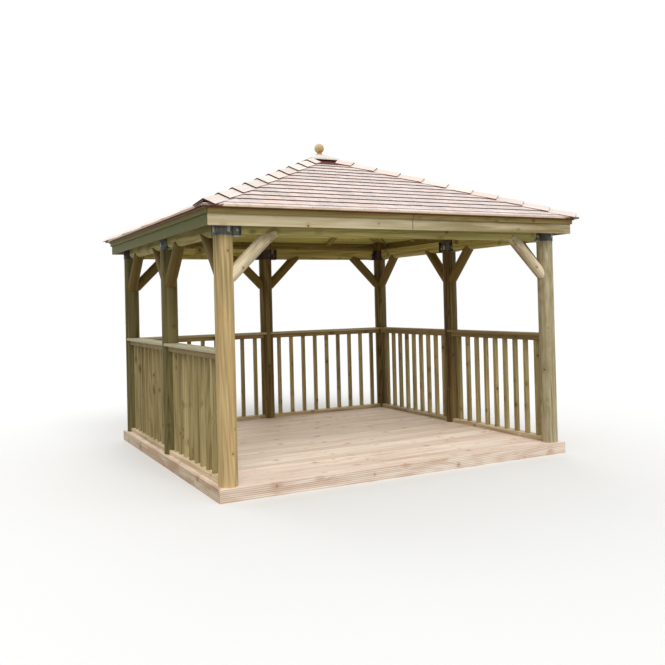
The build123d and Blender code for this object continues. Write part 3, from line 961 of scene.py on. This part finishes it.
class GAZEBO_OT_railings(GazeboOperator, bpy.types.Operator):
    """Make one bay of railing and copy it to all six bays, and finish the handrails"""

    bl_idname = "gazebo.railings"
    bl_label = "Railings"

    def ribbed_board(self, reach):
        """Bottom board of a bay, with two grooves along its outer face."""
        sizes = self.sizes
        half, groove_half, groove_depth = BOTTOM_BOARD_WIDTH / 2, 0.0025, 0.003
        board = block("bottom_board", (-reach, -half, 0), (reach, half, BOTTOM_BOARD_HEIGHT))
        ease_edges(board, sizes.arris, 0)
        for side in (-0.5, 0.5):
            height = BOTTOM_BOARD_HEIGHT / 2 + side * sizes.rib_pitch
            for edge in (-groove_half, groove_half):
                pick(board, "FACE", lambda f: True)
                bpy.ops.mesh.bisect(plane_co=(0, 0, height + edge), plane_no=(0, 0, 1))
            pick(board, "FACE", lambda f: (
                f.normal.y < -0.9 and abs(f.calc_center_median().z - height) < 0.001
            ))
            bpy.ops.mesh.extrude_region_move(
                TRANSFORM_OT_translate={"value": (0, groove_depth, 0)}
            )
            stop_editing()
        return board

    def execute(self, context):
        sizes = self.sizes
        reach = BAY_CLEAR / 2 + POST_RADIUS
        rail_top = HANDRAIL_UNDERSIDE - DECK_HEIGHT
        rail_bottom = rail_top - UNDER_RAIL_HEIGHT
        lower = rail_top - 0.01
        half = UNDER_RAIL_WIDTH / 2
        board = self.ribbed_board(reach)
        rail = block("under_rail", (-reach, -half, rail_bottom), (reach, half, rail_top))
        ease_edges(rail, sizes.arris, 0, test=lambda p: p.z < lower)
        hollow = drum("hollow", POST_RADIUS + 0.0005, -0.2, rail_top + 0.2, 48)
        for end in (-1, 1):
            hollow.location.x = end * reach
            for piece in (board, rail):
                apply_modifier(piece, "BOOLEAN", object=hollow, operation="DIFFERENCE")

        half = BALUSTER_WIDTH / 2
        baluster = block("baluster", (BOTTOM_BOARD_HEIGHT, -half, -half), (rail_bottom, half, half))
        ease_edges(baluster, sizes.arris, 0, 2)
        upright = axes(Vector(), Vector((0, 0, 1)), Vector((0, 1, 0)), Vector((-1, 0, 0)))
        outer, inner, under, upright_pine = [
            timber(
                name, pale, late, knots=1.6, checks=0.4, bump=0.3,
                stain=("olive_grain", 0.3, (1.0, 5.0, 5.0)),
            )
            for name, pale, late in (
                ("bottom_board_pine", "bottom_board", "dark_grain"),
                ("bottom_board_inner_pine", "bottom_inner", "knot"),
                ("under_rail_pine", "under_rail", "olive_grain"),
                ("railing_pine", "railing", "olive_grain"),
            )
        ]
        finish_piece(board, outer, inner)
        # The inner faces take the browner finish as painted shade.
        paint_faces(board, lambda f: int(f.normal.y > 0.9))
        finish_piece(rail, under)
        finish_piece(baluster, upright_pine)

        pitch = BAY_CLEAR / sizes.baluster_count
        middle = (sizes.baluster_count - 1) / 2
        places = [
            Matrix.Translation(((number - middle) * pitch, 0, 0)) @ upright
            for number in range(sizes.baluster_count)
        ]
        bays = {"right": ("front", "back"), "back": ("right", "left"), "left": ("back", "front")}
        seed = 20
        for side, halves in bays.items():
            for half_name, x in zip(halves, (-POST_LINE / 2, POST_LINE / 2)):
                tone = -1.4 if (side, half_name) == ("left", "back") else 0.0
                bay = join(
                    f"{side}_{half_name}_railing_bay",
                    lay("board", board, [Matrix()], seed),
                    lay("rail", rail, [Matrix()], seed + 1),
                    lay("balusters", baluster, places, seed + 2, tone),
                )
                bay.data.transform(turned(SIDES[side], x, -POST_LINE, DECK_HEIGHT))
                fit_piece(bay, "railing_timber", f"{side}_{half_name}_railing")
                seed += 3
        discard(board, rail, baluster, hollow)

        for side in ("back", "left", "right"):
            # The right handrail takes the darker colour as painted shade.
            finish = timber(
                f"{side}_handrail_pine", "right_handrail" if side == "right" else "handrail",
                "dark_grain", RUNS[side], figure=0.35, knots=0.8, bump=0.2,
                offset=(len(side), 8, 3),
            )
            dress(finish, f"{side}_handrail")
        return {"FINISHED"}


class GAZEBO_OT_eaves(GazeboOperator, bpy.types.Operator):
    """Finish the fascias, fillets and battens, and drive the fascias' nails"""

    bl_idname = "gazebo.eaves"
    bl_label = "Eaves"

    def execute(self, context):
        for side, direction in RUNS.items():
            left = side == "left"
            axis = "xy".index(direction)
            where = FASCIA_JOINT if side in ("front", "right") else -FASCIA_JOINT
            # The left fascia takes the dark green colour, partly green stain and partly painted
            # shade.
            colours = ("shaded_fascia", "olive_grain") if left else ("fascia", "dark_grain")
            stain = "shaded_fascia" if left else "right_handrail"
            finish = timber(
                f"{side}_fascia_pine", *colours, direction, figure=0.45, knots=1.2, checks=0.4,
                bump=0.2, stain=(stain, 1.1, (1.2, 12.0, 12.0)), rise=(axis, -1.0, 1.6),
                offset=(len(side), 6, 2), joint=(axis, where),
            )
            dress(finish, f"{side}_fascia")
        # The fillets' left end takes the same colour, partly green stain and partly painted shade.
        strip = timber(
            "fillet_pine", "fillet", direction="x", offset=(1, 9, 2), joint=(0, FASCIA_JOINT),
            left="shaded_fascia",
        )
        dress(strip, "eave_fillets", "eave_battens")

        nail = drum("nail", 0.0035, 0, 0.0008, 8)
        ease_edges(nail, 0.0003, None, test=lambda p: p.z > 0.0007)
        beside_joint = 0.03
        places = []
        for turn in SIDES.values():
            for step in range(NAILS_ALONG):
                x = -NAIL_REACH + 2 * NAIL_REACH * step / (NAILS_ALONG - 1)
                x += beside_joint if step == NAILS_ALONG // 2 else 0
                for height in NAIL_HEIGHTS:
                    places.append(turned(turn, x, -FASCIA_LINE, height) @ spin(90, "X"))
        nails = lay("fascia_nails", nail, places, seed=9)
        fit_piece(nails, "galvanised_steel", finish=bpy.data.materials["bright_steel"])
        discard(nail)
        return {"FINISHED"}


def roof_point(line, depth):
    """Point of the front slope at the middle, this far out and this deep below the shingles."""
    return Vector((0, -line, ROOF_APEX - line * ROOF_TAN - depth / ROOF_COS))


def slope_axes():
    """Directions down, along and out of the front slope."""
    down = Vector((0, -ROOF_COS, -math.sin(ROOF_SLOPE)))
    along = Vector((1, 0, 0))
    return down, along, down.cross(along)


def mitre(made, setback=0.0):
    """Cut a front slope's boards along both hips."""
    for side in (1, -1):
        trim(made, (0, -setback, 0), (side, 1, 0))


class GAZEBO_OT_roof_timbers(GazeboOperator, bpy.types.Operator):
    """Lay the boarding under the shingles, and finish the rafters"""

    bl_idname = "gazebo.roof_timbers"
    bl_label = "Roof Timbers"

    def execute(self, context):
        rafters = timber("rafter_pine", "hidden_timber", direction="y", figure=0.8,
                         offset=(3, 3, 3))
        hips = timber("hip_rafter_pine", "hidden_timber", direction="x", figure=0.8,
                      offset=(5, 1, 3))
        dress(rafters, "rafters")
        dress(hips, "hip_rafters", "king_block")
        boarding = timber("boarding_pine", "boarding", figure=0.4)
        # Painted shade: the boarding's outer edges are dark red brown for the shade under the
        # shingles' overhang.
        edge = timber("boarding_edge_pine", "hip_cap_side", figure=0.5)

        down, along, out = slope_axes()
        reach = SHEATHING_LINE / ROOF_COS
        rows = math.ceil(reach / self.sizes.boarding_width)
        width = reach / rows
        half = width / 2 - 0.0006
        board = block(
            "roof_board", (-SHEATHING_LINE, -half, 0), (SHEATHING_LINE, half, SHEATHING_THICKNESS)
        )
        ease_edges(board, 0.002, 0, test=lambda p: p.z < 0.001)
        top = roof_point(0, SHINGLE_DEPTH + SHEATHING_THICKNESS)
        places = [axes(top + down * (row + 0.5) * width, along, -down, out) for row in range(rows)]
        outer_edge = SHEATHING_LINE - 0.008
        for number, (side, turn) in enumerate(SIDES.items()):
            boards = lay(f"{side}_roof_boarding", board, places, seed=40 + number)
            mitre(boards)
            boards.data.transform(spin(turn))
            finish_piece(boards, boarding, edge)
            paint_faces(boards, lambda f: int(max(abs(f.center.x), abs(f.center.y)) > outer_edge))
            fit_piece(boards, "rafter_timber", f"{side}_roof_slope")
        discard(board)
        return {"FINISHED"}


class GAZEBO_OT_shingles(GazeboOperator, bpy.types.Operator):
    """Model one tapered shingle and lay the courses of all four slopes"""

    bl_idname = "gazebo.shingles"
    bl_label = "Shingles"

    def shingle(self):
        """One shingle with its butt at the origin, its grain along X and its top below Z = 0."""
        sizes = self.sizes
        shown = COURSE_PITCH / ROOF_COS
        whole = shown + sizes.shingle_lap
        butt = sizes.shingle_butt
        drop = butt * whole / shown
        tip = 0.0012
        made = block("shingle", (-whole, -0.5, -butt), (0, 0.5, 0))
        pick_edges(made, 1)
        bpy.ops.mesh.subdivide(number_cuts=2)
        raise_corners(made, -drop, lambda p: p.x < -0.01 and p.z > -0.001)
        raise_corners(made, butt - drop - tip, lambda p: p.x < -0.01 and abs(p.z + butt) < 0.0001)
        ease_edges(made, 0.0012, 1, test=lambda p: min(p.x, p.z) > -0.001)
        return made

    def course(self, chance, line, depth, offset):
        """Places and widths of the shingles of one course, at random along its line."""
        sizes = self.sizes
        down, along, out = slope_axes()
        x = -line - offset
        places, stretches = [], []
        while x < line:
            width = chance.uniform(sizes.shingle_least, sizes.shingle_most)
            middle = roof_point(line, depth) + along * (x + width / 2)
            middle -= down * abs(chance.normal(0, 0.0012)) + out * abs(chance.normal(0, 0.0003))
            turn = Matrix.Rotation(chance.normal(0, 0.004), 4, "Z")
            places.append(axes(middle, down, along, out) @ turn)
            stretches.append((1.0, width - sizes.shingle_joint, 1.0))
            x += width
        return places, stretches

    def execute(self, context):
        model = self.shingle()
        finish_piece(
            model,
            cedar("shingle_cedar", "shingle", "salmon", 0.5, 0.35, "course_shade", "grey_stain"),
            cedar("shingle_butt_cedar", "course_shade"),
            cedar("eave_butt_cedar", "eave_butt", "salmon", 0.8, 0.3, "course_shade"),
            cedar("eave_corner_cedar", "hip_cap_side"),
        )
        paint_faces(model, lambda f: int(f.normal.x > 0.9))
        # Painted shade: eave butts beyond this, under the last hip caps, take the dark red brown.
        corner_shade_start = 1.76

        def eave_finish(face):
            """Number of a face's finish, with other ones for the butts at the eave, and painted
            shade on those near the corners.
            """
            if face.material_index == 1 and face.center.y < 0.01 - EAVE_LINE:
                return 2 if abs(face.center.x) < corner_shade_start else 3
            return face.material_index

        lines = [EAVE_LINE] + [FIRST_COURSE_LINE - COURSE_PITCH * n for n in range(COURSE_COUNT)]
        for number, (side, turn) in enumerate(SIDES.items()):
            chance = np.random.default_rng(100 + number)
            courses = []
            for line in lines:
                courses.append(self.course(chance, line, 0.0004, chance.uniform(0, 0.1)))
                if line == EAVE_LINE:
                    courses.append(self.course(chance, line, 0.0086, 0.06))
            places, stretches = (sum(lists, []) for lists in zip(*courses))
            shingles = lay(
                f"{side}_shingles", model, places, seed=120 + number, stretches=stretches
            )
            paint_faces(shingles, eave_finish)
            mitre(shingles, 0.001)
            shingles.data.transform(spin(turn))
            fit_piece(shingles, "shingles", f"{side}_roof_slope")
        discard(model)
        return {"FINISHED"}


class GAZEBO_OT_hip_caps(GazeboOperator, bpy.types.Operator):
    """Model one cap board and lap it up both sides of every hip"""

    bl_idname = "gazebo.hip_caps"
    bl_label = "Hip Caps"

    def cap_board(self):
        """One board with its lower end at the origin, its length along -X and its inner edge
        along the hip."""
        sizes = self.sizes
        shown = HIP_CAP_PITCH * UP_HIP
        whole = shown + 0.03
        fall = (sizes.hip_cap_butt - sizes.hip_cap_tail) / shown
        inner, outer = -0.03, sizes.hip_cap_width
        tilt = sizes.hip_cap_drop / outer
        low = sizes.hip_cap_butt - sizes.hip_cap_thickness
        clearance = 0.0004
        made = block("cap_board", (-whole, inner, low), (0, outer, sizes.hip_cap_butt))
        raise_corners(made, -tilt * inner, lambda p: p.y < 0)
        raise_corners(made, -sizes.hip_cap_drop, lambda p: p.y > 0 and p.z > low + 0.001)
        raise_corners(made, clearance - low, lambda p: p.y > 0 and abs(p.z - low) < 0.0001)
        raise_corners(made, -fall * whole, lambda p: p.x < -0.01)
        return made

    def execute(self, context):
        model = self.cap_board()
        finish_piece(
            model,
            cedar("hip_cap_cedar", "hip_cap", "salmon", 0.6, 0.3, "course_shade"),
            cedar("hip_cap_end_cedar", "hip_cap_end"),
            cedar("hip_cap_side_cedar", "hip_cap_side"),
        )
        # The lower ends and the outer sides take dark finishes as painted shade, the sides partly
        # red cedar too.
        paint_faces(model, lambda f: 1 if f.normal.x > 0.9 else 2 * (f.normal.y > 0.9))
        level, climb = math.cos(HIP_PITCH), math.sin(HIP_PITCH) * math.sqrt(2)
        down = -Vector((level, level, climb)).normalized()
        out = slope_axes()[2]
        across = out.cross(down)
        apex = Vector((0, 0, ROOF_APEX))
        lines = [HIP_CAP_FIRST - HIP_CAP_PITCH * row for row in range(HIP_CAP_COUNT)]
        places = [axes(apex + down * (line * UP_HIP), down, across, out) for line in lines]
        mirror = Matrix(((0, 1, 0), (1, 0, 0), (0, 0, 1))).to_4x4()
        top_end = APEX_CAP_HALF - 0.011
        hips = []
        for number, turn in enumerate(SIDES.values()):
            for side in (0, 1):
                wing = lay("cap_wing", model, places, seed=200 + 2 * number + side)
                trim(wing, (0, 0, 0), (-1, 1, 0))
                trim(wing, (-top_end, -top_end, 0), (1, 1, 0))
                if side:
                    wing.data.transform(mirror)
                    pick(wing, "FACE", lambda f: True)
                    bpy.ops.mesh.flip_normals()
                    stop_editing()
                wing.data.transform(spin(turn))
                hips.append(wing)
        boards = join("hip_cap_boards", *hips)
        fit_piece(boards, "hip_cap_boards", "hip_caps")
        discard(model)
        return {"FINISHED"}


class GAZEBO_OT_apex(GazeboOperator, bpy.types.Operator):
    """Fold the sheet round the apex, and finish the apex cap and the ball"""

    bl_idname = "gazebo.apex"
    bl_label = "Apex"

    def execute(self, context):
        # A dark sheet round the apex, partly painted shade in the recess under the apex cap.
        (low, foot), (high, top) = ((half, roof_point(half, 0.001).z) for half in (0.3, 0.1))
        sheet = drum("apex_sheet", low * math.sqrt(2), foot, top, 4, math.radians(45),
                     high * math.sqrt(2))
        pick(sheet, "FACE", lambda f: abs(f.normal.z) > 0.99)
        bpy.ops.mesh.delete(type="FACE")
        stop_editing()
        apply_modifier(sheet, "SOLIDIFY", thickness=0.0015, offset=-1)
        fit_piece(sheet, "shingles", finish=red_brown_sheet())
        cap = timber("apex_cap_wood", "apex_cap", "pink_grain", "x", figure=0.25, knots=0.5,
                     offset=(4, 4, 4))
        dress(cap, "apex_cap")
        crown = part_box("finial")[1].z
        # Painted shade: the dark stain grows towards the ball's lower part, for the shade under it,
        # over patches of real mottling.
        ball = timber(
            "ball_wood", "ball", "dark_grain", "z", figure=0.7, knots=0.8, bump=0.15,
            stain=("dark_grain", 1.3, (9.0, 16.0, 16.0)), rise=(2, crown - 0.03, crown - 0.08),
            offset=(2, 5, 1),
        )
        dress(ball, "finial")
        return {"FINISHED"}


class GAZEBO_OT_stage(GazeboOperator, bpy.types.Operator):
    """Set the floor, the lights and the camera"""

    bl_idname = "gazebo.stage"
    bl_label = "Stage"

    def add_floor(self):
        bpy.ops.mesh.primitive_plane_add(size=120)
        floor = settle("studio_floor")
        finish, tree = new_finish("studio_floor")
        end_finish(blend(seen_directly(tree), FLOOR_BOUNCE, tint("floor")), 0.9)
        finish_piece(floor, finish)

    def add_lights(self, scene):
        world = bpy.data.worlds.new("studio")
        world.use_nodes = True
        scene.world = world
        tree = world.node_tree
        tree.nodes.clear()
        strength = sums("MULTIPLY_ADD", seen_directly(tree), 0.36, 0.64)
        sky = node("Background", {"Color": (1, 1, 1, 1), "Strength": strength})
        node("OutputWorld", {"Surface": sky.outputs[0]})
        for name, direction, strength, angle in (
            ("key_light", (0.2, 0.95, -1.0), 1.85, 40),
            ("side_light", (-0.6, 1.0, -0.45), 0.3, 60),
            ("back_light", (0.0, -1.0, -0.6), 0.8, 60),
        ):
            lamp = bpy.data.lights.new(name, "SUN")
            lamp.energy = strength
            lamp.angle = math.radians(angle)
            holder = bpy.data.objects.new(name, lamp)
            holder.rotation_euler = Vector(direction).to_track_quat("-Z", "Y").to_euler()
            scene.collection.objects.link(holder)

    def add_camera(self, scene):
        lens = bpy.data.cameras.new("camera")
        centre_x, centre_y = PICTURE_CENTRE
        lens.sensor_width = SENSOR_WIDTH
        lens.lens = PICTURE_FOCUS / PICTURE_SIZE * SENSOR_WIDTH
        lens.shift_x = (PICTURE_SIZE / 2 - centre_x) / PICTURE_SIZE
        lens.shift_y = (centre_y - PICTURE_SIZE / 2) / PICTURE_SIZE
        lens.clip_end = 300
        camera = bpy.data.objects.new("camera", lens)
        place = Matrix.Translation(CAMERA_PLACE)
        yaw, pitch, roll = (math.degrees(angle) for angle in CAMERA_TURNS)
        camera.matrix_world = place @ spin(-yaw) @ spin(90 + pitch, "X") @ spin(roll)
        scene.collection.objects.link(camera)
        scene.camera = camera

    def execute(self, context):
        self.add_floor()
        self.add_lights(context.scene)
        self.add_camera(context.scene)
        context.scene.view_settings.view_transform = "Standard"
        return {"FINISHED"}


OPERATORS = (
    GAZEBO_OT_groups,
    GAZEBO_OT_brackets,
    GAZEBO_OT_deck,
    GAZEBO_OT_posts,
    GAZEBO_OT_beams,
    GAZEBO_OT_railings,
    GAZEBO_OT_eaves,
    GAZEBO_OT_roof_timbers,
    GAZEBO_OT_shingles,
    GAZEBO_OT_hip_caps,
    GAZEBO_OT_apex,
    GAZEBO_OT_stage,
)


class GAZEBO_PT_panel(bpy.types.Panel):
    """Steps, sizes and colours of the gazebo"""

    bl_idname = "GAZEBO_PT_panel"
    bl_label = "Garden Gazebo"
    bl_space_type = "VIEW_3D"
    bl_region_type = "UI"
    bl_category = "Gazebo"

    def draw(self, context):
        for step in OPERATORS:
            self.layout.operator(step.bl_idname)
        for group in (context.scene.gazebo_sizes, context.scene.gazebo_colours):
            for name in group.bl_rna.properties.keys():
                if name not in ("rna_type", "name"):
                    self.layout.prop(group, name)


CLASSES = (GazeboSizes, GazeboColours, *OPERATORS, GAZEBO_PT_panel)


def register():
    for item in CLASSES:
        bpy.utils.register_class(item)
    bpy.types.Scene.gazebo_sizes = PointerProperty(type=GazeboSizes)
    bpy.types.Scene.gazebo_colours = PointerProperty(type=GazeboColours)


def unregister():
    del bpy.types.Scene.gazebo_colours
    del bpy.types.Scene.gazebo_sizes
    for item in reversed(CLASSES):
        bpy.utils.unregister_class(item)


def main():
    register()
    bpy.ops.gazebo.groups()
    bpy.ops.gazebo.brackets()
    bpy.ops.gazebo.deck()
    bpy.ops.gazebo.posts()
    bpy.ops.gazebo.beams()
    bpy.ops.gazebo.railings()
    bpy.ops.gazebo.eaves()
    bpy.ops.gazebo.roof_timbers()
    bpy.ops.gazebo.shingles()
    bpy.ops.gazebo.hip_caps()
    bpy.ops.gazebo.apex()
    bpy.ops.gazebo.stage()
    bpy.context.view_layer.update()


if __name__ == "__main__":
    main()
